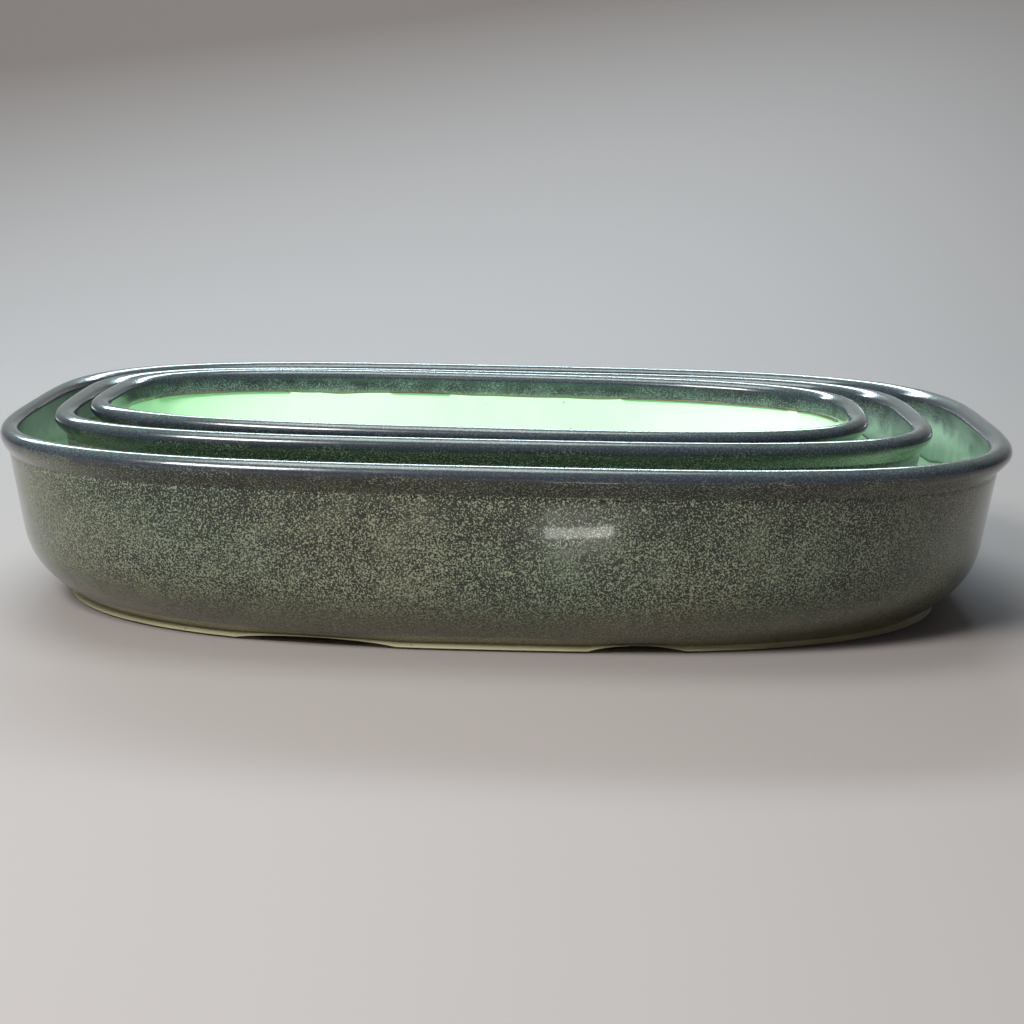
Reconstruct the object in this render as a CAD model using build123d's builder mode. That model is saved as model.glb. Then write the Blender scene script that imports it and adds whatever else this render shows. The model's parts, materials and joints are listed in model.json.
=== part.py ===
"""A nest of three oval glazed stoneware bonsai pots, stored one inside another.

Each pot is built from the pieces that a potter joins before firing: a floor slab with its
drain and tie-wire holes, a wall with a rolled lip, a foot ring with shallow scallops, and a
coat of glaze over the outside, the lip and the top of the inside. The medium and small pots
stand on the floor of the pot around them and lift straight out of it.

Millimetres, +Z up. The origin is on the ground under the middle of the large pot.
"""

import os
from dataclasses import dataclass
from math import atan2, cos, degrees, pi, radians, sin

from build123d import *

os.makedirs("parts", exist_ok=True)

# ---------------------------------------------------------------- values shared by the pots

COAT = 0.7  # thickness of the fired glaze
TURN_POWER = 2.6  # how quickly the belly turns under towards the foot
CURVE_POINTS = 7  # points that a curve of the wall's section is drawn through
CROWDING = 1.5  # how much closer those points lie where the belly turns
REST_GAP = 0.3  # clearance under a pot that stands inside another


@dataclass
class Arc:
    """One of the eight arcs of a pot's outline, in the pot's own plane."""

    x: float  # centre
    y: float
    radius: float  # at the outer edge of the lip
    start: float  # radians
    sweep: float


@dataclass
class Pot:
    """The sizes of one pot and the plane that it stands on."""

    name: str
    length: float  # over the lip, along X
    width: float  # over the lip, along Y
    height: float  # foot to the top of the lip
    corner_radius: float  # of the outline, at the lip
    side_bow: float  # how far a long side bows out past its corners
    end_bow: float  # how far an end bows out past its corners
    lean: float  # how far the wall leans in, from the neck to the foot
    turn: float  # how much further the belly turns in at the foot
    turn_height: float  # where the turn begins, above the foot
    neck_inset: float  # overhang of the lip past the wall below it
    wall: float
    inside_corner: float  # fillet of clay between the wall and the floor
    corner_height: float
    lip_width: float
    lip_height: float
    foot_height: float
    foot_width: float
    floor: float  # thickness of the floor slab
    foot_margin: float  # bare clay left above the scallops when the foot is wiped
    inside_glaze: float  # how far the glaze runs down inside, from the top of the lip
    drain_radius: float
    drain_spacing: float
    wire_radius: float
    wire_spacing_x: float
    wire_spacing_y: float
    long_scallop: float  # length of the scallop on the left of each long side
    short_scallop: float  # and on the right
    end_scallop: float
    long_scallop_x: float
    short_scallop_x: float
    scallop_height: float
    base: Plane

    @property
    def neck_height(self):
        """Height of the middle of the lip, where the wall runs into it."""
        return self.height - self.lip_height / 2

    @property
    def floor_top(self):
        return self.foot_height + self.floor

    @property
    def glaze_line(self):
        """Height of the wiped edge of the glaze above the foot."""
        return self.scallop_height + self.foot_margin

    @property
    def band_line(self):
        """Height of the lower edge of the glaze inside."""
        return self.height - self.inside_glaze

    @property
    def foot_inside(self):
        """How far the inside of the foot ring lies in from the lip's edge."""
        return self.outer_inset(0) + self.foot_width

    @property
    def slab_inset(self):
        """Where the floor slab ends, at the foot of the fillet inside."""
        return self.inner_inset(self.floor_top)

    def outer_inset(self, height):
        """How far the outside lies in from the lip's edge: a straight lean and a turned belly."""
        lean = self.lean * (1 - height / self.neck_height)
        turn = self.turn * max(0.0, 1 - height / self.turn_height) ** TURN_POWER
        return self.neck_inset + lean + turn

    def clay_inset(self, height):
        """The outside of the clay, under its coat of glaze."""
        return self.outer_inset(height) + COAT

    def inner_inset(self, height):
        """The inside: the outside moved in by the wall, with the corner at the floor filled."""
        above = (height - self.floor_top) / self.corner_height
        corner = self.inside_corner * max(0.0, 1 - above) ** TURN_POWER
        return self.outer_inset(height) + self.wall + corner

    def arcs(self):
        """The eight tangent arcs of the outline, anticlockwise from the right-hand end.

        The long sides and the ends are flat arcs whose centres lie on the axes, and each
        corner's centre is in line with the centres of its two neighbours.
        """
        corner = self.corner_radius
        x = self.length / 2 - corner - self.end_bow
        y = self.width / 2 - corner - self.side_bow
        side = (x**2 + y**2 - (y + self.side_bow) ** 2) / (2 * self.side_bow)
        end = (x**2 + y**2 - (x + self.end_bow) ** 2) / (2 * self.end_bow)
        side_start = atan2(y + side, x)
        corner_start = atan2(y, x + end)
        turn = side_start - corner_start
        side_radius = self.width / 2 + side
        end_radius = self.length / 2 + end
        return [
            Arc(-end, 0, end_radius, -corner_start, 2 * corner_start),
            Arc(x, y, corner, corner_start, turn),
            Arc(0, -side, side_radius, side_start, pi - 2 * side_start),
            Arc(-x, y, corner, pi - side_start, turn),
            Arc(end, 0, end_radius, pi - corner_start, 2 * corner_start),
            Arc(-x, -y, corner, pi + corner_start, turn),
            Arc(0, side, side_radius, pi + side_start, pi - 2 * side_start),
            Arc(x, -y, corner, 2 * pi - side_start, turn),
        ]

    def section_plane(self, arc):
        """The upright plane at an arc's start, with its X pointing out and its Y up."""
        out = self.base.x_dir * cos(arc.start) + self.base.y_dir * sin(arc.start)
        middle = self.base.from_local_coords((arc.x, arc.y, 0))
        return Plane(origin=middle, x_dir=out, z_dir=out.cross(self.base.z_dir))

    def pivot(self, arc):
        """The upright axis through an arc's centre."""
        return Axis(self.base.from_local_coords((arc.x, arc.y, 0)), self.base.z_dir)


def curve_points(arc, inset_at, low, high):
    """Points of a section's curve, from low to high, closer together near the low end."""
    points = []
    for index in range(CURVE_POINTS):
        height = low + (high - low) * (index / (CURVE_POINTS - 1)) ** CROWDING
        points.append((arc.radius - inset_at(height), height))
    return points


def wall_section(pot, arc):
    """The section of the clay wall and the core of its lip."""
    line = pot.band_line
    neck = pot.neck_height
    outside = curve_points(arc, pot.clay_inset, pot.foot_height, neck)
    inside = curve_points(arc, pot.inner_inset, pot.floor_top, line)
    with BuildSketch() as section:
        with BuildLine():
            Spline(*outside)
            Polyline(
                outside[-1],
                (arc.radius - pot.inner_inset(neck) + COAT, neck),
                (arc.radius - pot.inner_inset(line) + COAT, line),
                inside[-1],
            )
            Spline(*inside)
            Polyline(inside[0], (inside[0][0], pot.foot_height), outside[0])
        make_face()
        with Locations((arc.radius - pot.lip_width / 2, neck)):
            Ellipse(pot.lip_width / 2 - COAT, pot.lip_height / 2 - COAT)
    return section.sketch


def foot_section(pot, arc):
    """The section of the foot ring."""
    outside = curve_points(arc, pot.clay_inset, 0, pot.foot_height)
    inner = arc.radius - pot.foot_inside
    with BuildSketch() as section:
        with BuildLine():
            Spline(*outside)
            Polyline(outside[-1], (inner, pot.foot_height), (inner, 0), outside[0])
        make_face()
    return section.sketch


def glaze_section(pot, arc):
    """The section of the glaze: a strip outside, the lip and a band inside, less the clay."""
    line = pot.band_line
    neck = pot.neck_height
    outside = curve_points(arc, pot.outer_inset, pot.glaze_line, neck)
    under = [(x - 2 * COAT, z) for x, z in outside]
    with BuildSketch() as section:
        with BuildLine():
            Spline(*outside)
            Line(outside[-1], under[-1])
            Spline(*under)
            Line(under[0], outside[0])
        make_face()
        with BuildLine():
            Polyline(
                (arc.radius - pot.inner_inset(line), line),
                (arc.radius - pot.inner_inset(neck), neck),
                (arc.radius - pot.inner_inset(neck) + 2 * COAT, neck),
                (arc.radius - pot.inner_inset(line) + 2 * COAT, line),
                close=True,
            )
        make_face()
        with Locations((arc.radius - pot.lip_width / 2, neck)):
            Ellipse(pot.lip_width / 2, pot.lip_height / 2)
        add(wall_section(pot, arc), mode=Mode.SUBTRACT)
        add(foot_section(pot, arc), mode=Mode.SUBTRACT)
    return section.sketch


def carried_round(pot, section):
    """Carry a section round the outline, one arc at a time."""
    with BuildPart() as ring:
        for arc in pot.arcs():
            with BuildSketch(pot.section_plane(arc)):
                add(section(pot, arc))
            revolve(axis=pot.pivot(arc), revolution_arc=degrees(arc.sweep))
    return ring.part


# ---------------------------------------------------------------- the pieces of a pot


def make_floor(pot):
    """The floor slab, with two drain holes on the long axis and four tie-wire holes."""
    with BuildPart() as floor:
        with BuildSketch(pot.base.offset(pot.foot_height)):
            with BuildLine():
                for arc in pot.arcs():
                    reach = arc.radius - pot.slab_inset
                    CenterArc((arc.x, arc.y), reach, degrees(arc.start), degrees(arc.sweep))
            make_face()
            with GridLocations(pot.drain_spacing, 0, 2, 1):
                Circle(pot.drain_radius, mode=Mode.SUBTRACT)
            with GridLocations(pot.wire_spacing_x, pot.wire_spacing_y, 2, 2):
                Circle(pot.wire_radius, mode=Mode.SUBTRACT)
        extrude(amount=pot.floor)
    floor.part.label = f"{pot.name}_floor_slab"
    export_step(floor.part, f"parts/{pot.name}_floor_slab.step")


def make_wall(pot):
    """The wall and the core of its rolled lip, thinned where the inside is glazed."""
    with BuildPart() as wall:
        add(carried_round(pot, wall_section))
    wall.part.label = f"{pot.name}_wall"
    export_step(wall.part, f"parts/{pot.name}_wall.step")


def make_foot(pot):
    """The foot ring, with scallops along the sides and at both ends."""
    with BuildPart() as foot:
        add(carried_round(pot, foot_section))
        across = Plane(origin=pot.base.origin, x_dir=pot.base.x_dir, z_dir=-pot.base.y_dir)
        along = Plane(origin=pot.base.origin, x_dir=pot.base.y_dir, z_dir=pot.base.x_dir)
        for plane, middle, length, reach in (
            (across, pot.long_scallop_x, pot.long_scallop, pot.width),
            (across, pot.short_scallop_x, pot.short_scallop, pot.width),
            (along, 0, pot.end_scallop, pot.length),
        ):
            rise = pot.scallop_height
            radius = (length**2 / 4 + rise**2) / (2 * rise)
            with BuildSketch(plane):
                with Locations((middle, rise - radius)):
                    Circle(radius)
            extrude(amount=reach / 2, both=True, mode=Mode.SUBTRACT)
    foot.part.label = f"{pot.name}_foot_ring"
    export_step(foot.part, f"parts/{pot.name}_foot_ring.step")


def make_glaze(pot):
    """The glaze: a thin coat outside, over the lip, and a band down the inside."""
    with BuildPart() as glaze:
        add(carried_round(pot, glaze_section))
    glaze.part.label = f"{pot.name}_glaze_coat"
    export_step(glaze.part, f"parts/{pot.name}_glaze_coat.step")


def make_pot(pot):
    """Build the four pieces of one pot, in the order that the potter joins them."""
    make_floor(pot)
    make_foot(pot)
    make_wall(pot)
    make_glaze(pot)


# ---------------------------------------------------------------- the three pots

large = Pot(
    name="large",
    length=450,
    width=340,
    height=81,
    corner_radius=110,
    side_bow=8.7,
    end_bow=3,
    lean=8,
    turn=21.5,
    turn_height=36,
    neck_inset=3.8,
    wall=5.7,
    inside_corner=10,
    corner_height=9,
    lip_width=10,
    lip_height=9,
    foot_height=5,
    foot_width=11,
    floor=8,
    foot_margin=0.3,
    inside_glaze=19,
    drain_radius=13,
    drain_spacing=190,
    wire_radius=2.5,
    wire_spacing_x=270,
    wire_spacing_y=150,
    long_scallop=64,
    short_scallop=38,
    end_scallop=46,
    long_scallop_x=-72,
    short_scallop_x=56,
    scallop_height=2.5,
    base=Plane.XY,
)

# How the medium pot sits in the large one.
MEDIUM_END_GAP = 17.5  # between the two lips at the ends, when centred
MEDIUM_SIDE_GAP = 40.5  # and along the sides
MEDIUM_RISE = 3.0  # how far its lip stands above the lip around it
MEDIUM_SHIFT = (-5.2, 0.0)  # where it was set down, from the middle of the pot around it
MEDIUM_TURN = 0.5  # degrees that it was set down turned by

# How the small pot sits in the medium one.
SMALL_END_GAP = 11.5
SMALL_SIDE_GAP = 14.5
SMALL_RISE = 2.0
SMALL_SHIFT = (-6.6, -3.0)
SMALL_TURN = -2.6


def nested_base(outer, shift, turn):
    """The plane that a pot stands on inside another, just clear of its floor."""
    angle = radians(turn)
    along = outer.base.x_dir * cos(angle) + outer.base.y_dir * sin(angle)
    middle = outer.base.from_local_coords((shift[0], shift[1], outer.floor_top + REST_GAP))
    return Plane(origin=middle, x_dir=along, z_dir=outer.base.z_dir)


def length_inside(outer, gap):
    return outer.length - 2 * (outer.lip_width + gap)


def width_inside(outer, gap):
    return outer.width - 2 * (outer.lip_width + gap)


def height_inside(outer, rise):
    return outer.height + rise - outer.floor_top - REST_GAP


medium = Pot(
    name="medium",
    length=length_inside(large, MEDIUM_END_GAP),
    width=width_inside(large, MEDIUM_SIDE_GAP),
    height=height_inside(large, MEDIUM_RISE),
    corner_radius=76,
    side_bow=9,
    end_bow=2,
    lean=7,
    turn=19,
    turn_height=32,
    neck_inset=3.4,
    wall=5.2,
    inside_corner=8.5,
    corner_height=8,
    lip_width=9,
    lip_height=8.4,
    foot_height=4.8,
    foot_width=10,
    floor=7.4,
    foot_margin=0.3,
    inside_glaze=15,
    drain_radius=12,
    drain_spacing=160,
    wire_radius=2.5,
    wire_spacing_x=220,
    wire_spacing_y=90,
    long_scallop=56,
    short_scallop=34,
    end_scallop=38,
    long_scallop_x=-62,
    short_scallop_x=48,
    scallop_height=2.3,
    base=nested_base(large, MEDIUM_SHIFT, MEDIUM_TURN),
)

small = Pot(
    name="small",
    length=length_inside(medium, SMALL_END_GAP),
    width=width_inside(medium, SMALL_SIDE_GAP),
    height=height_inside(medium, SMALL_RISE),
    corner_radius=66,
    side_bow=9.5,
    end_bow=2,
    lean=6,
    turn=16.5,
    turn_height=28,
    neck_inset=3.1,
    wall=4.8,
    inside_corner=7.5,
    corner_height=7,
    lip_width=8.4,
    lip_height=7.8,
    foot_height=4.6,
    foot_width=9,
    floor=6.8,
    foot_margin=0.3,
    inside_glaze=11.5,
    drain_radius=11,
    drain_spacing=140,
    wire_radius=2.5,
    wire_spacing_x=190,
    wire_spacing_y=60,
    long_scallop=48,
    short_scallop=30,
    end_scallop=30,
    long_scallop_x=-54,
    short_scallop_x=42,
    scallop_height=2.1,
    base=nested_base(medium, SMALL_SHIFT, SMALL_TURN),
)

for pot in (large, medium, small):
    make_pot(pot)
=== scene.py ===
"""Looks for a nest of three oval glazed stoneware bonsai pots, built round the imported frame."""
import json
import logging
from dataclasses import dataclass
from enum import Enum

import bpy
import numpy as np
from mathutils import Matrix, Vector

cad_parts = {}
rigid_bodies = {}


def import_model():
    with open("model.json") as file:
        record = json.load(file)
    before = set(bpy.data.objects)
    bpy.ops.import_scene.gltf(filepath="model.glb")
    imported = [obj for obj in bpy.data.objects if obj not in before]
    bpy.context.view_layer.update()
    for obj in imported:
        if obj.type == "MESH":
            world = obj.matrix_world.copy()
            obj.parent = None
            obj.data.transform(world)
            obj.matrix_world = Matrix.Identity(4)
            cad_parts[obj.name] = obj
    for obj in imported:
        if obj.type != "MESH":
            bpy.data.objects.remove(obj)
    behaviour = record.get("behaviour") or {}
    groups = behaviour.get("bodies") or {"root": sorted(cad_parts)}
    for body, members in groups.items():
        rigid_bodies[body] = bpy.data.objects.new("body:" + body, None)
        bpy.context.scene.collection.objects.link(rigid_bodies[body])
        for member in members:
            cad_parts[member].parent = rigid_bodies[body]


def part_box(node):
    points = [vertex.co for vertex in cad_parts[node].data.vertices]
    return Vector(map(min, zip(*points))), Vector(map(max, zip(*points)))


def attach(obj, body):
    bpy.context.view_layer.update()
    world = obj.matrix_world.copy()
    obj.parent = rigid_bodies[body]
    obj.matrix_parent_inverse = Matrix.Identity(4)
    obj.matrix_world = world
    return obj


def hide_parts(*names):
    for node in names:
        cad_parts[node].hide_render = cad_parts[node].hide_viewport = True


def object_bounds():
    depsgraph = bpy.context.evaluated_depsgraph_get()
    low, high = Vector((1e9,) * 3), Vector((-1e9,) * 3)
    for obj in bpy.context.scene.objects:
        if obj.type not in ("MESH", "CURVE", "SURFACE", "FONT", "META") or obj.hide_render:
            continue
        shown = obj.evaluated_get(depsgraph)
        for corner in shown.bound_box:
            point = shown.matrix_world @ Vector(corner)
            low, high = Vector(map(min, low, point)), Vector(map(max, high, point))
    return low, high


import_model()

CAD_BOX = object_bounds()
MM = 0.001
LOG = logging.getLogger("bonsai_pots")

AROUND = 560  # grid steps round a pot's outline
INSIDE_THE_BOX = 0.25 * MM  # the visible lip stays this far inside the solid one
COAT = 0.7 * MM  # thickness of the glaze
BEDDING = 0.08 * MM  # how far the glaze sinks into the clay, so that no gap shows
TURN_POWER = 2.6  # how quickly the belly turns under towards the foot
GLAZE_MENISCUS = 1.8 * MM  # how far in from its edges the glaze thins to nothing
UNDERSIDE_SPACING = 3  # the underside of the glaze keeps every third row of the skin
ROUND_OVER = 0.44  # height of the rounded top of the lip, as a share of the lip's width
INSIDE_SETTLE = 7.0 * MM  # how far below the round-over the lip runs into the inner wall
CLAY_LIP = 4 * MM  # height of the rounded top of the clay under the glaze
CLAY_SETTLE = 11 * MM  # where the clay lip has run into the inner wall, below the top
WANDER = 0.45 * MM  # how far the clay wanders from a true outline
SLAB_LAP = 1.5 * MM  # how far the wall reaches in over the edge of the floor slab
SLAB_DROP = 0.2 * MM  # how far that edge starts below the floor
FOOT_EASE = 0.9 * MM  # rounding of the foot ring's lower edges
FLOOR_SAG = 0.25 * MM  # how far the floor dips in the middle
FLOOR_LAP = 0.4 * MM  # how far the visible floor runs in under the wall's fillet
FLOOR_SHARES = (1.0, 0.985, 0.9, 0.75, 0.55, 0.35, 0.15)  # rings of the floor, by size
HOLE_SIDES = 48
HOLE_START = -0.01  # a cutter's lower end, from the foot
HOLE_END = 0.04  # and its upper end

Colour = tuple[float, float, float]
Place = tuple[float, float, float]


class Zone(Enum):
    """Which part of a pot's skin a mesh vertex belongs to, as stored in the zone attribute."""

    OUTSIDE = 0.0
    CREST = 0.5
    INSIDE = 1.0


# ------------------------------------------------------------------ numpy shapes


def eased(value: np.ndarray, low: float, high: float) -> np.ndarray:
    """A smooth step: 0 below low, 1 above high and 3t^2 - 2t^3 between.

    Args:
        value: Any array.
        low: Where the step starts.
        high: Where it ends.

    Returns:
        The steps, in an array shaped like value.
    """
    share = np.clip((value - low) / (high - low), 0.0, 1.0)
    return share * share * (3.0 - 2.0 * share)


def ripple(angle: np.ndarray, seed: int, waves: tuple[int, ...], fall: float = 0.6) -> np.ndarray:
    """A closed random line: cosines of whole numbers of waves, with seeded phases.

    Args:
        angle: Angles round the pot.
        seed: The seed of the phases.
        waves: How many waves each term has in one turn.
        fall: How much each term is weaker than the one before it.

    Returns:
        Values of about -1 to 1, the same at 0 and at a full turn.
    """
    random = np.random.default_rng(seed)
    total = np.zeros_like(angle)
    weight = 1.0
    scale = 0.0
    for count in waves:
        total = total + weight * np.cos(count * angle + random.uniform(0.0, 2.0 * np.pi))
        scale += weight
        weight *= fall
    return total / scale


def bell(value: np.ndarray, middle: float, reach: float) -> np.ndarray:
    """A bell curve, exp(-((value - middle) / reach)^2)."""
    return np.exp(-(((value - middle) / reach) ** 2))


def lerp(start: np.ndarray | float, end: np.ndarray | float, share: np.ndarray) -> np.ndarray:
    """A straight mix of two values."""
    return start + (end - start) * share


def grid_normals(points: np.ndarray) -> np.ndarray:
    """Unit normals of a grid that closes round its second axis.

    The normal is the cross product of the step round the pot and the step along the section.

    Args:
        points: Positions, shaped (along, around, 3).

    Returns:
        Normals of the same shape, pointing out of the clay for a section drawn from the foot
        up the outside and down the inside.
    """
    along = np.gradient(points, axis=0)
    around = np.roll(points, -1, axis=1) - np.roll(points, 1, axis=1)
    normal = np.cross(around, along)
    return normal / np.maximum(np.linalg.norm(normal, axis=2, keepdims=True), 1e-12)


def mesh_from_arrays(
    name: str, points: np.ndarray, faces: np.ndarray, values: dict[str, np.ndarray]
) -> bpy.types.Object:
    """Make a smooth-shaded mesh object from whole arrays.

    Args:
        name: The piece's name.
        points: Positions, shaped (count, 3).
        faces: Vertex numbers of four-sided faces, shaped (count, 4).
        values: Float attributes, one value for each point.

    Returns:
        The new object, linked to the scene.
    """
    mesh = bpy.data.meshes.new(name)
    mesh.from_pydata(points.tolist(), [], faces.tolist())
    for key, array in values.items():
        layer = mesh.attributes.new(key, "FLOAT", "POINT")
        layer.data.foreach_set("value", array.astype(np.float32))
    mesh.polygons.foreach_set("use_smooth", np.ones(len(mesh.polygons), dtype=bool))
    mesh.update()
    thing = bpy.data.objects.new(name, mesh)
    bpy.context.scene.collection.objects.link(thing)
    return thing


def closed_ring(name: str, points: np.ndarray, values: dict[str, np.ndarray]) -> bpy.types.Object:
    """A ring-shaped piece from a grid that closes both along its section and round the pot.

    Each face joins four neighbours on the grid, and the last row and column join the first.

    Args:
        name: The piece's name.
        points: Positions, shaped (along, around, 3).
        values: Float attributes, shaped (along, around).

    Returns:
        The ring, with its faces pointing out.
    """
    rows, columns = points.shape[:2]
    number = np.arange(rows * columns).reshape(rows, columns)
    up = np.roll(number, -1, axis=0)
    corners = [number, np.roll(number, -1, axis=1), np.roll(up, -1, axis=1), up]
    faces = np.stack(corners, axis=2).reshape(-1, 4)
    flat = {key: array.reshape(-1) for key, array in values.items()}
    return mesh_from_arrays(name, points.reshape(-1, 3), faces, flat)


# ------------------------------------------------------------------ node helpers


class Nodes:
    """A short way to place and wire shader nodes in one tree."""

    def __init__(self, tree: bpy.types.NodeTree) -> None:
        """Start with the tree to fill."""
        self.tree = tree

    def add(self, kind: str, **settings: object) -> bpy.types.Node:
        """Add a node of a kind and set its properties."""
        node = self.tree.nodes.new(kind)
        for key, value in settings.items():
            setattr(node, key, value)
        return node

    def put(self, source: object, socket: bpy.types.NodeSocket) -> None:
        """Link a socket, or set a constant value on the socket itself."""
        if isinstance(source, bpy.types.NodeSocket):
            self.tree.links.new(source, socket)
        elif isinstance(source, tuple) and len(source) == 3 and socket.type == "RGBA":
            socket.default_value = (*source, 1.0)
        else:
            socket.default_value = source

    def math(
        self, operation: str, first: object, second: object = 0.0, clamp: bool = False
    ) -> bpy.types.NodeSocket:
        """A Math node with two inputs.

        Args:
            operation: The node's operation.
            first: A socket or a constant.
            second: Another.
            clamp: Whether the result is held between 0 and 1.

        Returns:
            The result's socket.
        """
        node = self.add("ShaderNodeMath", operation=operation, use_clamp=clamp)
        self.put(first, node.inputs[0])
        self.put(second, node.inputs[1])
        return node.outputs[0]

    def spread(
        self, value: object, low: float, high: float, to_low: float = 0.0, to_high: float = 1.0
    ) -> bpy.types.NodeSocket:
        """A smooth Map Range of a value from one span to another.

        Args:
            value: The socket to spread.
            low: The start of its span.
            high: The end of its span.
            to_low: The result at the start.
            to_high: The result at the end.

        Returns:
            The result's socket.
        """
        node = self.add("ShaderNodeMapRange", interpolation_type="SMOOTHSTEP")
        self.put(value, node.inputs["Value"])
        node.inputs["From Min"].default_value = low
        node.inputs["From Max"].default_value = high
        node.inputs["To Min"].default_value = to_low
        node.inputs["To Max"].default_value = to_high
        return node.outputs["Result"]

    def mix(self, share: object, first: object, second: object) -> bpy.types.NodeSocket:
        """A colour Mix node."""
        node = self.add("ShaderNodeMix", data_type="RGBA")
        self.put(share, node.inputs[0])
        self.put(first, node.inputs[6])
        self.put(second, node.inputs[7])
        return node.outputs[2]

    def noise(
        self, vector: object, scale: float, detail: float = 2.0, rough: float = 0.5
    ) -> bpy.types.NodeSocket:
        """A Noise Texture's value."""
        node = self.add("ShaderNodeTexNoise")
        self.put(vector, node.inputs["Vector"])
        node.inputs["Scale"].default_value = scale
        node.inputs["Detail"].default_value = detail
        node.inputs["Roughness"].default_value = rough
        return node.outputs["Fac"]

    def attribute(self, name: str) -> bpy.types.NodeSocket:
        """A vertex attribute's value."""
        return self.add("ShaderNodeAttribute", attribute_name=name).outputs["Fac"]

    def group(self, tree: bpy.types.NodeTree, **inputs: object) -> bpy.types.Node:
        """Place a node group and fill its inputs by name."""
        node = self.add("ShaderNodeGroup", node_tree=tree)
        for key, value in inputs.items():
            self.put(value, node.inputs[key.replace("_", " ").title()])
        return node


def new_group(
    name: str, inputs: dict[str, float], outputs: tuple[str, ...]
) -> tuple[bpy.types.NodeTree, Nodes, bpy.types.Node, bpy.types.Node]:
    """Make an empty shader node group.

    Args:
        name: The group's name.
        inputs: Float inputs and their defaults. A vector input named Position is always first.
        outputs: Names of float outputs.

    Returns:
        The tree, its Nodes helper, its input node and its output node.
    """
    tree = bpy.data.node_groups.new(name, "ShaderNodeTree")
    tree.interface.new_socket("Position", in_out="INPUT", socket_type="NodeSocketVector")
    for key, value in inputs.items():
        socket = tree.interface.new_socket(key, in_out="INPUT", socket_type="NodeSocketFloat")
        socket.default_value = value
    for key in outputs:
        tree.interface.new_socket(key, in_out="OUTPUT", socket_type="NodeSocketFloat")
    nodes = Nodes(tree)
    return tree, nodes, nodes.add("NodeGroupInput"), nodes.add("NodeGroupOutput")


class Effects:
    """The effects that more than one finish uses, each a node group built once."""

    def __init__(self) -> None:
        """Build every group."""
        self.speckle = self.build_speckle()
        self.mottle = self.build_mottle()
        self.pitting = self.build_pitting()

    @staticmethod
    def build_speckle() -> bpy.types.NodeTree:
        """Iron speckle: fine noise cut near its middle, which leaves a labyrinth of dark spots.

        Returns:
            A group that puts out the spots and the soft pale halo between them.
        """
        inputs = {"Fineness": 620.0, "Cover": 0.5, "Softness": 0.05}
        tree, nodes, start, end = new_group("iron_speckle", inputs, ("Spots", "Halo"))
        fine = nodes.add("ShaderNodeTexNoise")
        nodes.put(start.outputs["Position"], fine.inputs["Vector"])
        nodes.put(start.outputs["Fineness"], fine.inputs["Scale"])
        fine.inputs["Detail"].default_value = 1.5
        fine.inputs["Roughness"].default_value = 0.45
        fine.inputs["Distortion"].default_value = 0.35
        patch = nodes.noise(start.outputs["Position"], 60.0, 3.0, 0.55)
        drift = nodes.math("MULTIPLY", nodes.math("SUBTRACT", patch, 0.5), 0.16)
        cut = nodes.math("ADD", start.outputs["Cover"], drift)
        above = nodes.math("SUBTRACT", fine.outputs["Fac"], nodes.math("SUBTRACT", 1.0, cut))
        spots = nodes.math("DIVIDE", above, start.outputs["Softness"])
        spots = nodes.math("ADD", nodes.math("MULTIPLY", spots, 0.5), 0.5, clamp=True)
        nodes.put(spots, end.inputs["Spots"])
        nodes.put(nodes.spread(fine.outputs["Fac"], 0.28, 0.44, 1.0, 0.0), end.inputs["Halo"])
        return tree

    @staticmethod
    def build_mottle() -> bpy.types.NodeTree:
        """Cloudy variation from two sizes of noise.

        Returns:
            A group that puts out a broad cloud and a finer one, both about 0 to 1.
        """
        tree, nodes, start, end = new_group("cloudy_mottle", {"Size": 12.0}, ("Broad", "Fine"))
        size = start.outputs["Size"]
        for key, factor, detail in (("Broad", 1.0, 3.0), ("Fine", 6.5, 4.0)):
            cloud = nodes.add("ShaderNodeTexNoise")
            nodes.put(start.outputs["Position"], cloud.inputs["Vector"])
            nodes.put(nodes.math("MULTIPLY", size, factor), cloud.inputs["Scale"])
            cloud.inputs["Detail"].default_value = detail
            cloud.inputs["Roughness"].default_value = 0.55
            nodes.put(nodes.spread(cloud.outputs["Fac"], 0.32, 0.68), end.inputs[key])
        return tree

    @staticmethod
    def build_pitting() -> bpy.types.NodeTree:
        """Pinholes and grit: small round cells, most of them left out at random.

        Returns:
            A group that puts out a mask of pits.
        """
        inputs = {"Spacing": 90.0, "Size": 0.06, "Share": 0.1}
        tree, nodes, start, end = new_group("pinholes", inputs, ("Pits",))
        cells = nodes.add("ShaderNodeTexVoronoi", feature="F1")
        nodes.put(start.outputs["Position"], cells.inputs["Vector"])
        nodes.put(start.outputs["Spacing"], cells.inputs["Scale"])
        near = nodes.math("LESS_THAN", cells.outputs["Distance"], start.outputs["Size"])
        split = nodes.add("ShaderNodeSeparateColor")
        nodes.put(cells.outputs["Color"], split.inputs[0])
        chosen = nodes.math("LESS_THAN", split.outputs[0], start.outputs["Share"])
        nodes.put(nodes.math("MULTIPLY", near, chosen), end.inputs["Pits"])
        return tree


def new_material(
    name: str,
) -> tuple[bpy.types.Material, Nodes, bpy.types.Node, bpy.types.NodeSocket]:
    """Make a material with one Principled shader.

    Args:
        name: The material's name.

    Returns:
        The material, its Nodes helper, the shader and the Object coordinates.
    """
    material = bpy.data.materials.new(name)
    material.use_nodes = True
    nodes = Nodes(material.node_tree)
    shader = material.node_tree.nodes["Principled BSDF"]
    place = nodes.add("ShaderNodeTexCoord").outputs["Object"]
    return material, nodes, shader, place


# ------------------------------------------------------------------ finishes


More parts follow.
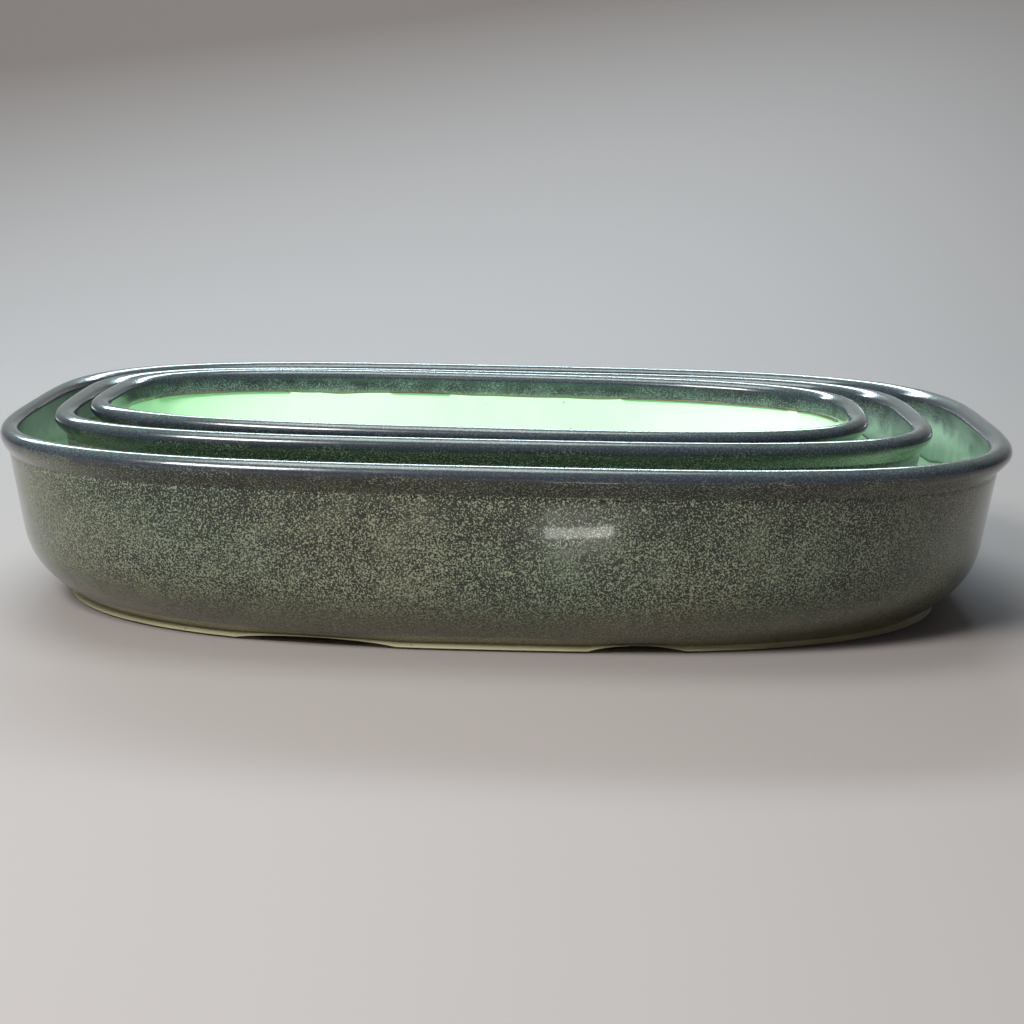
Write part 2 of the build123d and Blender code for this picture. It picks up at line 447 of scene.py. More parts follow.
@dataclass(frozen=True)
class GlazeFinish:
    """An olive iron glaze, blue-black where it breaks over the lip and mint inside."""

    name: str
    effects: Effects
    olive: Colour = (0.175, 0.185, 0.118)
    green: Colour = (0.108, 0.165, 0.110)
    brown: Colour = (0.120, 0.105, 0.062)
    dark: Colour = (0.008, 0.010, 0.007)
    rim_dark: Colour = (0.012, 0.012, 0.014)
    rim_blue: Colour = (0.040, 0.052, 0.075)
    crest: Colour = (0.105, 0.150, 0.145)
    teal: Colour = (0.130, 0.190, 0.165)
    mint: Colour = (0.400, 0.640, 0.460)
    edge_brown: Colour = (0.16, 0.13, 0.07)
    halo: Colour = (0.300, 0.320, 0.225)
    pinhole: Colour = (0.30, 0.28, 0.19)
    roughness: float = 0.13

    def build(self) -> bpy.types.Material:
        """Make the material.

        The colour runs down the outside from the lip by the vertex attributes below_rim and
        above_foot, and down the inside from the lip to the band's own edge.
        """
        material, nodes, shader, place = new_material(self.name)
        below = nodes.attribute("below_rim")
        above = nodes.attribute("above_foot")
        inside = nodes.attribute("zone")
        edge = nodes.attribute("from_edge")
        ends = nodes.attribute("end_share")
        mottle = nodes.group(self.effects.mottle, position=place, size=11.0)
        broad, cloud = mottle.outputs["Broad"], mottle.outputs["Fine"]

        outside = nodes.mix(nodes.math("MULTIPLY", broad, 0.75), self.olive, self.green)
        low = nodes.spread(above, 0.034, 0.004)
        outside = nodes.mix(nodes.math("MULTIPLY", low, 0.85), outside, self.brown)
        cover = nodes.math("SUBTRACT", 0.525, nodes.math("MULTIPLY", ends, 0.06))
        cover = nodes.math("SUBTRACT", cover, nodes.math("MULTIPLY", low, 0.05))
        cover = nodes.math("ADD", cover, nodes.spread(below, 0.040, 0.012, 0.0, 0.035))
        speckle = nodes.group(
            self.effects.speckle, position=place, fineness=1450.0, cover=cover, softness=0.045
        )
        faint_ends = nodes.spread(ends, 0.25, 0.85, 1.0, 0.55)
        faint = nodes.math("MULTIPLY", faint_ends, nodes.spread(low, 0.0, 1.0, 1.0, 0.6))
        cloudy = nodes.spread(cloud, -0.4, 0.6, 0.75, 0.98)
        spots = nodes.math("MULTIPLY", speckle.outputs["Spots"], cloudy)
        spots = nodes.math("MULTIPLY", spots, faint)
        outside = nodes.mix(nodes.math("MULTIPLY", speckle.outputs["Halo"], 0.6), outside, self.halo)
        outside = nodes.mix(spots, outside, self.dark)

        unevenness = nodes.math("SUBTRACT", cloud, 0.5)
        depth = nodes.math("ADD", below, nodes.math("MULTIPLY", unevenness, 0.004))
        mint = nodes.mix(nodes.spread(depth, 0.009, 0.019), self.teal, self.mint)
        mint = nodes.mix(nodes.math("MULTIPLY", cloud, 0.25), mint, self.teal)
        fading = nodes.spread(depth, 0.006, 0.017, 0.75, 0.10)
        mint = nodes.mix(nodes.math("MULTIPLY", speckle.outputs["Spots"], fading), mint, self.dark)
        mint = nodes.mix(nodes.spread(edge, 0.0016, 0.0005, 0.0, 0.8), mint, self.edge_brown)
        body = nodes.mix(inside, outside, mint)

        rim = nodes.mix(nodes.spread(below, 0.0004, 0.0026), self.crest, self.rim_blue)
        rim = nodes.mix(nodes.spread(below, 0.0030, 0.0065), rim, self.rim_dark)
        rim = nodes.mix(nodes.math("MULTIPLY", cloud, 0.35), rim, self.rim_blue)
        rim = nodes.mix(nodes.math("MULTIPLY", speckle.outputs["Spots"], 0.5), rim, self.dark)
        wander = nodes.math("ADD", below, nodes.math("MULTIPLY", unevenness, 0.0026))
        colour = nodes.mix(nodes.spread(wander, 0.0035, 0.0085, 0.93, 0.0), body, rim)

        pitting = nodes.group(
            self.effects.pitting, position=place, spacing=85.0, size=0.055, share=0.05
        )
        pits = pitting.outputs["Pits"]
        colour = nodes.mix(nodes.math("MULTIPLY", pits, 0.8), colour, self.pinhole)
        nodes.put(colour, shader.inputs["Base Color"])

        rough = nodes.math("ADD", nodes.math("MULTIPLY", spots, 0.08), self.roughness)
        rough = nodes.math("ADD", rough, nodes.math("MULTIPLY", low, 0.16))
        rough = nodes.math("ADD", rough, nodes.math("MULTIPLY", cloud, 0.05))
        nodes.put(rough, shader.inputs["Roughness"])
        shader.inputs["IOR"].default_value = 1.5
        shader.inputs["Coat Weight"].default_value = 0.4
        shader.inputs["Coat Roughness"].default_value = 0.05

        waves = nodes.noise(place, 38.0, 2.0)
        height = nodes.math("ADD", waves, nodes.math("MULTIPLY", spots, -0.02))
        height = nodes.math("SUBTRACT", height, nodes.math("MULTIPLY", pits, 0.25))
        bump = nodes.add("ShaderNodeBump")
        bump.inputs["Strength"].default_value = 0.35
        bump.inputs["Distance"].default_value = 0.0010
        nodes.put(height, bump.inputs["Height"])
        nodes.put(bump.outputs["Normal"], shader.inputs["Normal"])
        return material


@dataclass(frozen=True)
class ClayFinish:
    """Bare fired clay, with fine grain, faint clouds and dark iron grit."""

    name: str
    effects: Effects
    pale: Colour
    deep: Colour
    grit: Colour = (0.18, 0.12, 0.06)
    grain: float = 0.5
    roughness: float = 0.62

    def build(self) -> bpy.types.Material:
        """Make the material: clouds of two tones, grit in few cells and a grainy bump."""
        material, nodes, shader, place = new_material(self.name)
        mottle = nodes.group(self.effects.mottle, position=place, size=9.0)
        colour = nodes.mix(mottle.outputs["Broad"], self.pale, self.deep)
        colour = nodes.mix(nodes.math("MULTIPLY", mottle.outputs["Fine"], 0.3), colour, self.pale)
        pitting = nodes.group(
            self.effects.pitting, position=place, spacing=260.0, size=0.16, share=0.05
        )
        pits = pitting.outputs["Pits"]
        colour = nodes.mix(nodes.math("MULTIPLY", pits, 0.55), colour, self.grit)
        nodes.put(colour, shader.inputs["Base Color"])
        rough = nodes.spread(
            mottle.outputs["Fine"], 0.0, 1.0, self.roughness - 0.08, self.roughness + 0.08
        )
        nodes.put(rough, shader.inputs["Roughness"])
        fine = nodes.noise(place, 1500.0, 3.0, 0.6)
        marks = nodes.noise(place, 70.0, 3.0, 0.5)
        height = nodes.math("ADD", nodes.math("MULTIPLY", fine, 0.25), marks)
        height = nodes.math("SUBTRACT", height, nodes.math("MULTIPLY", pits, 0.3))
        bump = nodes.add("ShaderNodeBump")
        bump.inputs["Strength"].default_value = self.grain
        bump.inputs["Distance"].default_value = 0.0006
        nodes.put(height, bump.inputs["Height"])
        nodes.put(bump.outputs["Normal"], shader.inputs["Normal"])
        return material


# ------------------------------------------------------------------ one pot


@dataclass(frozen=True)
class Finishes:
    """The three finished materials, one for each slot."""

    glaze: bpy.types.Material
    clay: bpy.types.Material
    foot_clay: bpy.types.Material


@dataclass
class OvalPot:
    """One glazed pot: its sizes, in metres, and the pieces that show."""

    name: str
    seed: int
    turn: float  # radians that it was set down turned by
    rim_squareness: float
    base_squareness: float
    lean: float
    belly: float
    belly_height: float
    neck_inset: float
    wall: float
    corner: float
    corner_height: float
    lip_width: float
    collar: float  # depth of the thickened lip, from its top
    foot_height: float
    foot_width: float
    floor: float
    glazed_inside: float
    drain_radius: float
    drain_spacing: float
    wire_radius: float
    wire_spacing: tuple[float, float]
    scallops: tuple[tuple[float, float], ...]  # middle and length along the sides
    end_scallop: float
    scallop_height: float
    drips: float = 0.0
    thin_left: float = 0.0  # how much narrower the lip is at the left end

    def __post_init__(self) -> None:
        """Read the pot's overall size and place from the frame."""
        low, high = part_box(f"{self.name}_glaze_coat")
        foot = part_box(f"{self.name}_foot_ring")[0]
        self.middle = Vector(((low.x + high.x) / 2, (low.y + high.y) / 2, foot.z))
        self.half_length = (high.x - low.x) / 2 - INSIDE_THE_BOX
        self.half_width = (high.y - low.y) / 2 - INSIDE_THE_BOX
        self.height = high.z - foot.z - INSIDE_THE_BOX
        self.angle = np.linspace(0.0, 2.0 * np.pi, AROUND, endpoint=False)

    @property
    def floor_top(self) -> float:
        """Height of the floor inside, above the foot."""
        return self.foot_height + self.floor

    def outer_inset(self, height: np.ndarray) -> np.ndarray:
        """Inset of the outside: a lean in a straight line, and a belly that turns under.

        The belly is a power of how far the height is below where the turn starts.
        """
        lean = self.lean * (1.0 - height / self.height)
        share = np.clip(1.0 - height / self.belly_height, 0.0, None)
        return self.neck_inset + lean + self.belly * share**TURN_POWER

    def inner_inset(self, height: np.ndarray) -> np.ndarray:
        """Inset of the inside: the outside plus the wall, plus a fillet near the floor."""
        share = np.clip(1.0 - (height - self.floor_top) / self.corner_height, 0.0, None)
        return self.outer_inset(height) + self.wall + self.corner * share**TURN_POWER

    def place(self, inset: np.ndarray, height: np.ndarray) -> np.ndarray:
        """Points on the pot for an inset and a height at every angle.

        The outline is |x/a|^n + |y/b|^n = 1, with both half sizes drawn in by the inset and
        n running from the base's squareness to the rim's. A slow ripple of the clay, under
        half a millimetre, is added below the lip, and the outer edge of the lip is drawn in at
        the left end. The pot is then turned and set down.

        Args:
            inset: Insets, shaped (along, around).
            height: Heights above the foot, of the same shape.

        Returns:
            Positions, shaped (along, around, 3).
        """
        share = np.clip(height / self.height, 0.0, 1.0)
        inward = np.clip(1.0 - inset / self.lip_width, 0.0, 1.0)
        inward = inward * eased(height, self.height - self.collar, self.height - self.lip_width / 2)
        inset = inset + self.thin_left * inward * np.clip(-np.cos(self.angle), 0.0, 1.0) ** 4
        power = self.base_squareness + (self.rim_squareness - self.base_squareness) * share
        wander = ripple(self.angle, self.seed, (3, 5, 8)) * WANDER * np.sin(np.pi * share)
        cosine, sine = np.cos(self.angle), np.sin(self.angle)
        reach = (np.abs(cosine) ** power + np.abs(sine) ** power) ** (-1.0 / power)
        x = (self.half_length - inset - wander) * reach * cosine
        y = (self.half_width - inset - wander) * reach * sine
        turned_x = x * np.cos(self.turn) - y * np.sin(self.turn) + self.middle.x
        turned_y = x * np.sin(self.turn) + y * np.cos(self.turn) + self.middle.y
        return np.stack([turned_x, turned_y, height + self.middle.z], axis=2)

    def foot_edge(self) -> tuple[np.ndarray, np.ndarray]:
        """Height of the foot's lower edge and of the wiped edge of the glaze, round the pot.

        Scallops are shallow parabolas cut up into the foot. The wiped strip of bare clay is
        tallest at the middle of the long sides and wanders, and closes up in the scallops.

        Returns:
            The two heights, one value for each angle.
        """
        inset = self.outer_inset(np.zeros(1))[0]
        foot = self.place(np.full((1, AROUND), inset), np.zeros((1, AROUND)))[0]
        x, y = (foot - np.array(self.middle))[:, :2].T
        lift = np.zeros(AROUND)
        flat_side = np.abs(y) > 0.55 * self.half_width - inset * 0.5
        for middle, length in self.scallops:
            cut = 1.0 - ((x - middle) / (length / 2)) ** 2
            lift = np.maximum(lift, np.where(flat_side, np.clip(cut, 0.0, None), 0.0))
        end_cut = 1.0 - (y / (self.end_scallop / 2)) ** 2
        at_an_end = np.abs(x) > 0.6 * self.half_length
        lift = np.maximum(lift, np.where(at_an_end, np.clip(end_cut, 0.0, None), 0.0))
        lift = lift**0.8 * self.scallop_height
        front = np.where(y < 0, 1.0, 0.6)
        strip = 0.12 + 1.9 * bell(x, 0.0, 0.048) * front + 0.8 * bell(x, 0.115, 0.035) * front
        strip = (strip + 0.12 * ripple(self.angle, self.seed + 1, (7, 13, 22))) * MM
        closed = 1.0 - 0.9 * eased(lift, 0.0, 0.5 * self.scallop_height)
        return lift, lift + np.clip(strip, 0.05 * MM, None) * closed

    def band_edge(self) -> np.ndarray:
        """Height of the wavy lower edge of the glaze inside, with a few pointed drips."""
        wave = ripple(self.angle, self.seed + 2, (4, 9, 17, 31)) * 1.3 * MM
        random = np.random.default_rng(self.seed + 3)
        drips = np.zeros(AROUND)
        for start in random.uniform(0.0, 2.0 * np.pi, 16):
            away = np.abs((self.angle - start + np.pi) % (2.0 * np.pi) - np.pi)
            drips = np.maximum(drips, np.exp(-((away / 0.06) ** 2)) * random.uniform(0.4, 1.0))
        return self.height - self.glazed_inside + wave - self.drips * drips

    def skin(self) -> tuple[np.ndarray, np.ndarray, np.ndarray]:
        """The glazed skin's section at every angle, from the foot over the lip to the floor.

        The outside is drawn from the glaze's foot edge to the collar, eased out to the lip,
        carried over the top as half an ellipse, eased back to the inner wall and drawn down
        to the band's edge.

        Returns:
            Insets, heights and zone values, shaped (along, around).
        """
        start = self.foot_edge()[1]
        end = self.band_edge()
        width, top = self.lip_width, self.height
        round_over = ROUND_OVER * self.lip_width
        shoulder = top - round_over
        collar = top - self.collar
        steps = np.linspace(0.0, 1.0, 46)[:, None] ** 1.25
        low = lerp(start[None, :], collar, steps)
        rows = [(self.outer_inset(low), low, Zone.OUTSIDE)]

        height = np.linspace(collar, shoulder, 16)[1:, None] * np.ones(AROUND)
        share = eased(height, collar, shoulder)
        groove = 0.35 * MM * bell(height, collar + 0.6 * MM, 0.9 * MM)
        rows.append((lerp(self.outer_inset(height), 0.0, share) + groove, height, Zone.OUTSIDE))

        turn = np.linspace(0.0, np.pi, 25)[1:, None] * np.ones(AROUND)
        crest = shoulder + round_over * np.sin(turn)
        rows.append((width / 2 * (1.0 - np.cos(turn)), crest, Zone.CREST))

        settle = shoulder - INSIDE_SETTLE
        height = np.linspace(shoulder, settle, 12)[1:, None] * np.ones(AROUND)
        share = eased(height, shoulder, settle)
        rows.append((lerp(width, self.inner_inset(height), share), height, Zone.INSIDE))

        steps = np.linspace(0.0, 1.0, 26)[1:, None]
        height = lerp(settle, end[None, :], steps)
        rows.append((self.inner_inset(height), height, Zone.INSIDE))
        inset = np.concatenate([row[0] for row in rows])
        height = np.concatenate([row[1] for row in rows])
        zone = np.concatenate([np.full(row[1].shape, row[2].value) for row in rows])
        return inset, height, zone

    def build_glaze(self) -> bpy.types.Object:
        """The glaze: the skin and its underside, closed into one thin shell.

        The underside is the skin moved in along its normals by the coat. The skin itself is
        drawn down to it over the last two millimetres before each edge.
        """
        inset, height, zone = self.skin()
        outer = self.place(inset, height)
        steps = np.linalg.norm(np.diff(outer, axis=0), axis=2)
        travelled = np.concatenate([np.zeros((1, AROUND)), np.cumsum(steps, axis=0)])
        from_edge = np.minimum(travelled, travelled[-1] - travelled)
        normal = grid_normals(outer)
        fall = COAT * (1.0 - np.sqrt(eased(from_edge, 0.0, GLAZE_MENISCUS)))
        lowered = outer - normal * fall[:, :, None]
        under = outer - normal * (COAT + BEDDING)
        back = np.r_[0 : len(outer) - 1 : UNDERSIDE_SPACING, len(outer) - 1][::-1]
        points = np.concatenate([lowered, under[back]])
        below = np.clip(self.height - height, 0.0, None)
        end_share = np.abs(outer[:, :, 0] - self.middle.x) / self.half_length
        values = {
            "below_rim": below,
            "above_foot": height,
            "zone": zone,
            "from_edge": from_edge,
            "end_share": end_share**3,
        }
        values = {key: np.concatenate([array, array[back]]) for key, array in values.items()}
        return closed_ring(f"{self.name}_glaze", points, values)

    def build_wall(self) -> bpy.types.Object:
        """The clay wall under the glaze: bare inside below the band, down to the floor slab.

        Its section follows the glazed skin, moved in by the coat, then the fillet down to the
        slab, the slab's edge and back along the underside.
        """
        collar = self.height - self.collar
        shoulder = self.height - CLAY_LIP
        below_collar = np.linspace(self.foot_height, collar, 30)
        rise = np.concatenate([below_collar, np.linspace(collar, shoulder, 8)[1:]])
        outside = self.outer_inset(rise) * (1.0 - eased(rise, collar, shoulder))
        turn = np.linspace(0.0, np.pi, 13)[1:-1]
        lip = self.lip_width / 2 * (1.0 - np.cos(turn))
        lip_height = shoulder + CLAY_LIP * np.sin(turn)
        fall = shoulder + (self.floor_top - shoulder) * np.linspace(0.0, 1.0, 44)
        settled = eased(fall, self.height - CLAY_SETTLE, shoulder)
        inside = lerp(self.inner_inset(fall), self.lip_width, settled)
        insets = np.concatenate([outside, lip, inside])
        section = np.stack([insets, np.concatenate([rise, lip_height, fall])], axis=1)
        grid = np.repeat(section[:, None, :], AROUND, axis=1)
        points = self.place(grid[:, :, 0], grid[:, :, 1])
        points = points - grid_normals(points) * COAT
        slab = self.inner_inset(np.array([self.floor_top]))[0] + SLAB_LAP
        heights = np.array([self.floor_top - SLAB_DROP, self.foot_height])
        edge = self.place(np.full((2, AROUND), slab), np.repeat(heights[:, None], AROUND, axis=1))
        ring = np.concatenate([points, edge])
        bare = np.concatenate([np.repeat(section[:, 1:2], AROUND, axis=1), np.zeros((2, AROUND))])
        return closed_ring(f"{self.name}_clay_wall", ring, {"above_foot": bare})

    def build_floor(self) -> bpy.types.Object:
        """The floor slab: an oval disc with drain and wire holes cut through it.

        Rings of the outline, each smaller and a little lower than the one before, run in
        over the top. The same rings moved down run back out below.
        """
        rim = self.inner_inset(np.array([self.floor_top]))[0] + FLOOR_LAP
        height = np.full((1, AROUND), self.floor_top - COAT)
        outline = self.place(np.full((1, AROUND), rim), height)[0]
        centre = np.array(self.middle)
        spokes = outline - centre
        tops = [
            centre + spokes * [share, share, 1.0] - [0, 0, FLOOR_SAG * (1 - share)]
            for share in FLOOR_SHARES
        ]
        bottoms = [points - [0, 0, self.floor - COAT] for points in tops]
        rings = [*tops, *bottoms[::-1]]
        number = np.arange(len(rings) * AROUND).reshape(-1, AROUND)
        upper, lower = np.split(number, 2)
        first = np.concatenate([upper[:-1], lower[:-1]])
        second = np.concatenate([upper[1:], lower[1:]])
        corners = [np.roll(first, -1, axis=1), first, second, np.roll(second, -1, axis=1)]
        faces = np.stack(corners, axis=2).reshape(-1, 4).tolist()
        top, bottom = number[0], number[-1]
        edge = np.stack([np.roll(bottom, -1), bottom, top, np.roll(top, -1)], axis=1)
        faces += edge.tolist()
        faces.append(upper[-1].tolist())
        faces.append(lower[0][::-1].tolist())
        mesh = bpy.data.meshes.new(f"{self.name}_floor")
        mesh.from_pydata(np.concatenate(rings).tolist(), [], faces)
        floor = bpy.data.objects.new(f"{self.name}_floor", mesh)
        bpy.context.scene.collection.objects.link(floor)
        for side in (-1, 1):
            self.cut_hole(floor, side * self.drain_spacing / 2, 0.0, self.drain_radius)
        across, along = self.wire_spacing
        for side in (-1, 1):
            for end in (-1, 1):
                self.cut_hole(floor, side * across / 2, end * along / 2, self.wire_radius)
        return floor

    def cut_hole(self, floor: bpy.types.Object, x: float, y: float, radius: float) -> None:
        """Cut a round hole with a boolean modifier, and apply it.

        Args:
            floor: The floor slab.
            x: Where the hole is along the pot, from its middle.
            y: Where it is across the pot.
            radius: The hole's radius.
        """
        angle = np.linspace(0.0, 2.0 * np.pi, HOLE_SIDES, endpoint=False)
        middle_x = x * np.cos(self.turn) - y * np.sin(self.turn) + self.middle.x
        middle_y = x * np.sin(self.turn) + y * np.cos(self.turn) + self.middle.y
        ring = [middle_x + radius * np.cos(angle), middle_y + radius * np.sin(angle)]
        low = np.column_stack([*ring, np.full(HOLE_SIDES, self.middle.z + HOLE_START)])
        high = np.column_stack([*ring, np.full(HOLE_SIDES, self.middle.z + HOLE_END)])
        number = np.arange(HOLE_SIDES)
        after = np.roll(number, -1)
        sides = np.stack([number, after, after + HOLE_SIDES, number + HOLE_SIDES], axis=1)
        caps = [number[::-1].tolist(), (number + HOLE_SIDES).tolist()]
        mesh = bpy.data.meshes.new("hole")
        mesh.from_pydata(np.concatenate([low, high]).tolist(), [], [*sides.tolist(), *caps])
        cutter = bpy.data.objects.new("hole", mesh)
        bpy.context.scene.collection.objects.link(cutter)
        modifier = floor.modifiers.new("hole", "BOOLEAN")
        modifier.operation = "DIFFERENCE"
        modifier.solver = "EXACT"
        modifier.object = cutter
        graph = bpy.context.evaluated_depsgraph_get()
        result = bpy.data.meshes.new_from_object(floor.evaluated_get(graph))
        floor.modifiers.clear()
        floor.data = result
        bpy.data.objects.remove(cutter)

    def build_foot(self) -> bpy.types.Object:
        """The foot ring, scalloped along its lower edge, with its edges eased round."""
        lift = self.foot_edge()[0][None, :]
        drop = np.linspace(1.0, 0.0, 9)[:, None]
        side = lift + (self.foot_height - lift) * drop
        turn = np.linspace(0.0, np.pi / 2, 6)[1:, None]
        outer = self.outer_inset(lift) + COAT
        near = self.outer_inset(np.zeros(1))[0]
        inner = near + self.foot_width
        level = np.ones((1, AROUND))
        rows = (
            (self.outer_inset(side)[::-1] + COAT, np.maximum(side, lift + FOOT_EASE)),
            (outer + FOOT_EASE * (1.0 - np.cos(turn)), lift + FOOT_EASE * (1.0 - np.sin(turn))),
            ((near + inner) / 2 + COAT, lift),
            (inner - FOOT_EASE * (1.0 - np.sin(turn)), lift + FOOT_EASE * (1.0 - np.cos(turn))),
            (inner, self.foot_height),
        )
        inset = np.concatenate([row[0] * level for row in rows])[::-1]
        height = np.concatenate([row[1] * level for row in rows])[::-1]
        points = self.place(inset, height)
        return closed_ring(f"{self.name}_foot", points, {"above_foot": height})

    def dress(self, finishes: Finishes) -> None:
        """Build each piece, give it its finish, and put it on its body in place of its node.

        Args:
            finishes: The finished materials.
        """
        body = f"{self.name}_pot"
        for thing, material, slot, node in (
            (self.build_glaze(), finishes.glaze, "glaze", "glaze_coat"),
            (self.build_wall(), finishes.clay, "clay", "wall"),
            (self.build_floor(), finishes.clay, "clay", "floor_slab"),
            (self.build_foot(), finishes.foot_clay, "foot_clay", "foot_ring"),
        ):
            thing.data.materials.clear()
            thing.data.materials.append(material)
            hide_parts(f"{self.name}_{node}")
            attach(thing, body)
            LOG.info("%s: %d faces on %s", thing.name, len(thing.data.polygons), body)


# ------------------------------------------------------------------ the studio


@dataclass(frozen=True)
class Studio:
    """The floor, the light and the camera."""

    azimuth: float = 0.894
    elevation: float = 10.598
    roll: float = 1.125
    distance: float = 1.0772
    aim_side: float = 0.0036
    aim_height: float = 0.031672
    lens: float = 80.83
    floor_colour: Colour = (0.300, 0.272, 0.262)
    sky: Colour = (0.62, 0.61, 0.65)
    sky_strength: float = 0.24

    def build_camera(self) -> None:
        """Stand the camera at its azimuth, elevation, distance and roll about the aim."""
        turn, rise, roll = np.radians([self.azimuth, self.elevation, self.roll])
        back = Vector((np.sin(turn) * np.cos(rise), -np.cos(turn) * np.cos(rise), np.sin(rise)))
        right = Vector((np.cos(turn), np.sin(turn), 0.0))
        up = back.cross(right)
        aim = right * self.aim_side + Vector((0.0, 0.0, self.aim_height))
        tilted_right = right * np.cos(roll) + up * np.sin(roll)
        tilted_up = up * np.cos(roll) - right * np.sin(roll)
        data = bpy.data.cameras.new("camera")
        data.sensor_width = 36.0
        data.lens = self.lens
        data.clip_start = 0.01
        data.clip_end = 50.0
        camera = bpy.data.objects.new("camera", data)
        axes = Matrix((tilted_right, tilted_up, back)).transposed()
        camera.matrix_world = Matrix.Translation(aim + back * self.distance) @ axes.to_4x4()
        bpy.context.scene.collection.objects.link(camera)
        bpy.context.scene.camera = camera

    def build_floor(self) -> None:
        """A wide pale floor that sweeps up far behind the pots: flat, a quarter turn, upright."""
        low = CAD_BOX[0][2] - 0.0002
        turn = np.linspace(0.0, np.pi / 2, 25)
        away = np.concatenate([[-4.0], 0.75 + 0.9 * np.sin(turn), [1.65]])
        up = np.concatenate([[0.0], 0.9 * (1.0 - np.cos(turn)), [5.0]]) + low
        across = np.array([-6.0, 6.0])
        points = np.stack(np.broadcast_arrays(across[None, :], away[:, None], up[:, None]), axis=2)
        number = np.arange(points.shape[0] * 2).reshape(-1, 2)
        corners = [number[:-1, 0], number[:-1, 1], number[1:, 1], number[1:, 0]]
        floor = mesh_from_arrays("studio_floor", points.reshape(-1, 3), np.stack(corners, axis=1), {})
        material, _, shader, _ = new_material("studio_floor")
        shader.inputs["Base Color"].default_value = (*self.floor_colour, 1.0)
        shader.inputs["Roughness"].default_value = 0.75
        floor.data.materials.append(material)

    @staticmethod
    def add_light(
        name: str, spot: Place, aim: Place, size: tuple[float, float], power: float, colour: Colour
    ) -> bpy.types.Object:
        """Add a soft rectangular light.

        Args:
            name: The light's name.
            spot: Where it stands.
            aim: The point that it faces.
            size: Its width and height.
            power: Its power in watts.
            colour: Its colour.

        Returns:
            The light.
        """
        data = bpy.data.lights.new(name, "AREA")
        data.shape = "RECTANGLE"
        data.size, data.size_y = size
        data.energy = power
        data.color = colour
        light = bpy.data.objects.new(name, data)
        light.location = spot
        light.rotation_euler = (Vector(spot) - Vector(aim)).to_track_quat("Z", "Y").to_euler()
        light.visible_camera = False
        bpy.context.scene.collection.objects.link(light)
        return light

    def build_light(self) -> None:
        """A dim sky, a key from the front left, a long cool strip behind, and a small card.

        The card stands low in front of the pots, lights only the glaze, and gives it the
        small bright reflection of a window.
        """
        world = bpy.data.worlds.new("studio")
        world.use_nodes = True
        background = world.node_tree.nodes["Background"]
        background.inputs["Color"].default_value = (*self.sky, 1.0)
        background.inputs["Strength"].default_value = self.sky_strength
        bpy.context.scene.world = world
        middle = (0.0, 0.0, 0.05)
        left = (-0.12, 0.0, 0.05)
        front = (0.036, -0.163, 0.055)
        low = (0.0378, -0.2646, 0.0133)
        warm, cool, green_white = (1.0, 0.99, 0.96), (0.72, 0.90, 1.0), (0.95, 1.0, 0.98)
        self.add_light("key", (-0.70, -1.1, 1.10), left, (0.6, 0.5), 34.0, warm)
        self.add_light("back_strip", (-0.25, 1.1, 0.75), middle, (1.5, 0.16), 16.0, cool)
        self.add_light("top", (-0.2, 0.1, 1.6), middle, (0.8, 0.8), 12.0, green_white)
        card = self.add_light("card", low, front, (0.036, 0.005), 0.006, (1.0, 1.0, 0.92))
        lit = bpy.data.collections.new("lit_by_card")
        for thing in bpy.data.objects:
            if thing.name.endswith("_glaze"):
                lit.objects.link(thing)
        card.light_linking.receiver_collection = lit


def make_finishes() -> Finishes:
    """Build the three materials.

    Returns:
        The materials of the glaze, the clay inside and the wiped foot.
    """
    effects = Effects()
    glaze = GlazeFinish("olive_glaze", effects)
    clay = ClayFinish("pale_clay", effects, pale=(0.64, 0.93, 0.66), deep=(0.54, 0.90, 0.57))
    foot_clay = ClayFinish(
        "wiped_buff_clay", effects, pale=(0.66, 0.62, 0.40), deep=(0.45, 0.38, 0.22), grain=0.7
    )
    return Finishes(glaze.build(), clay.build(), foot_clay.build())


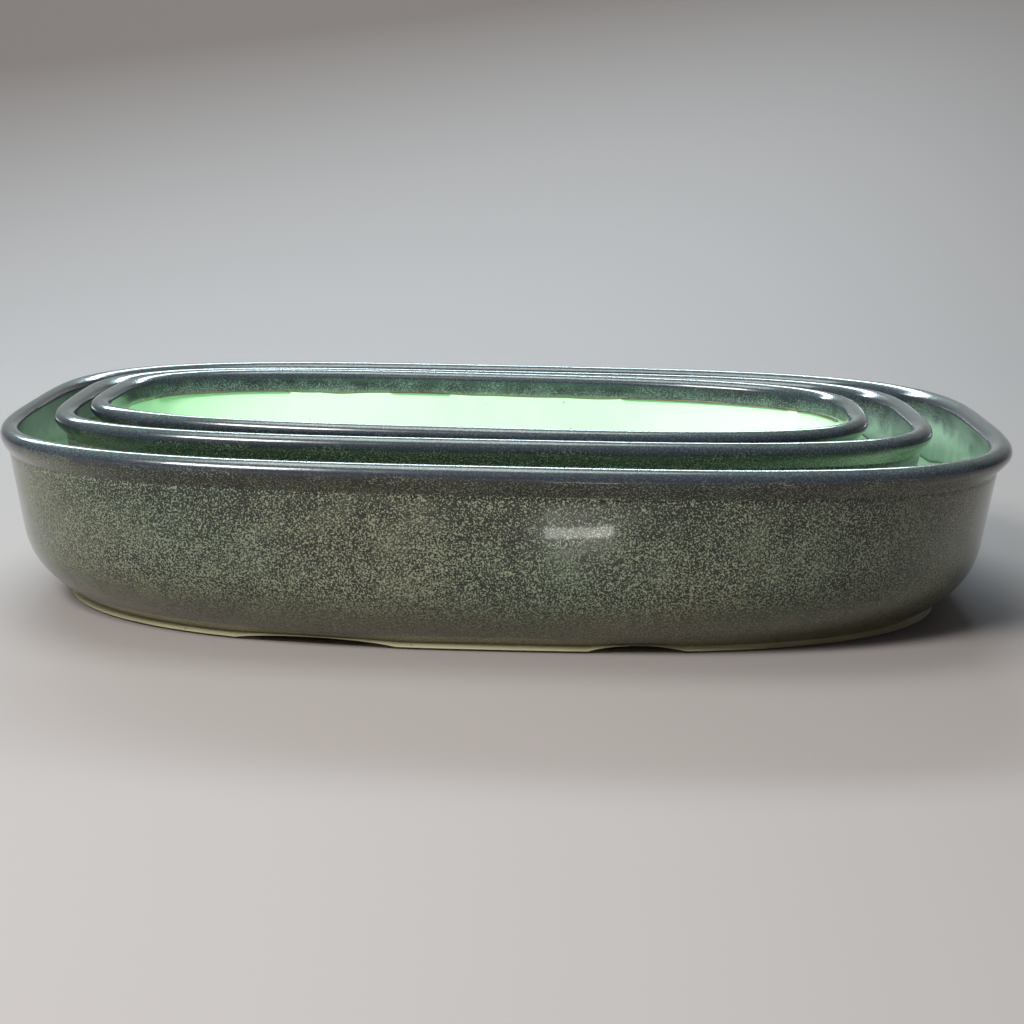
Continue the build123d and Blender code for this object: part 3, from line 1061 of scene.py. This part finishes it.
def make_pots() -> tuple[OvalPot, ...]:
    """The sizes of the three pots.

    Returns:
        The large, medium and small pot.
    """
    large = OvalPot(
        name="large",
        seed=11,
        turn=0.0,
        rim_squareness=3.4,
        base_squareness=2.6,
        lean=8 * MM,
        belly=21.5 * MM,
        belly_height=36 * MM,
        neck_inset=3.8 * MM,
        wall=5.7 * MM,
        corner=10 * MM,
        corner_height=9 * MM,
        lip_width=10 * MM,
        collar=13 * MM,
        foot_height=5 * MM,
        foot_width=11 * MM,
        floor=8 * MM,
        glazed_inside=30 * MM,
        drain_radius=13 * MM,
        drain_spacing=190 * MM,
        wire_radius=2.5 * MM,
        wire_spacing=(250 * MM, 120 * MM),
        scallops=((-72 * MM, 64 * MM), (56 * MM, 38 * MM)),
        end_scallop=46 * MM,
        scallop_height=2.5 * MM,
        drips=2 * MM,
        thin_left=3 * MM,
    )
    medium = OvalPot(
        name="medium",
        seed=23,
        turn=np.radians(0.5),
        rim_squareness=3.6,
        base_squareness=2.6,
        lean=7 * MM,
        belly=19 * MM,
        belly_height=32 * MM,
        neck_inset=3.4 * MM,
        wall=5.2 * MM,
        corner=8.5 * MM,
        corner_height=8 * MM,
        lip_width=9 * MM,
        collar=12 * MM,
        foot_height=4.8 * MM,
        foot_width=10 * MM,
        floor=7.4 * MM,
        glazed_inside=20 * MM,
        drain_radius=12 * MM,
        drain_spacing=160 * MM,
        wire_radius=2.5 * MM,
        wire_spacing=(200 * MM, 70 * MM),
        scallops=((-62 * MM, 56 * MM), (48 * MM, 34 * MM)),
        end_scallop=38 * MM,
        scallop_height=2.3 * MM,
        drips=3 * MM,
    )
    small = OvalPot(
        name="small",
        seed=37,
        turn=np.radians(-2.1),
        rim_squareness=3.2,
        base_squareness=2.6,
        lean=6 * MM,
        belly=16.5 * MM,
        belly_height=28 * MM,
        neck_inset=3.1 * MM,
        wall=4.8 * MM,
        corner=7.5 * MM,
        corner_height=7 * MM,
        lip_width=8.4 * MM,
        collar=11 * MM,
        foot_height=4.6 * MM,
        foot_width=9 * MM,
        floor=6.8 * MM,
        glazed_inside=10.5 * MM,
        drain_radius=11 * MM,
        drain_spacing=140 * MM,
        wire_radius=2.5 * MM,
        wire_spacing=(175 * MM, 50 * MM),
        scallops=((-54 * MM, 48 * MM), (42 * MM, 30 * MM)),
        end_scallop=30 * MM,
        scallop_height=2.1 * MM,
        drips=1 * MM,
    )
    return large, medium, small


def main() -> None:
    """Build the pots and the studio, and report each piece."""
    logging.basicConfig(level=logging.INFO, format="%(name)s: %(message)s")
    finishes = make_finishes()
    for pot in make_pots():
        pot.dress(finishes)
    studio = Studio()
    studio.build_floor()
    studio.build_light()
    studio.build_camera()
    bpy.context.scene.view_settings.view_transform = "Standard"


if __name__ == "__main__":
    main()
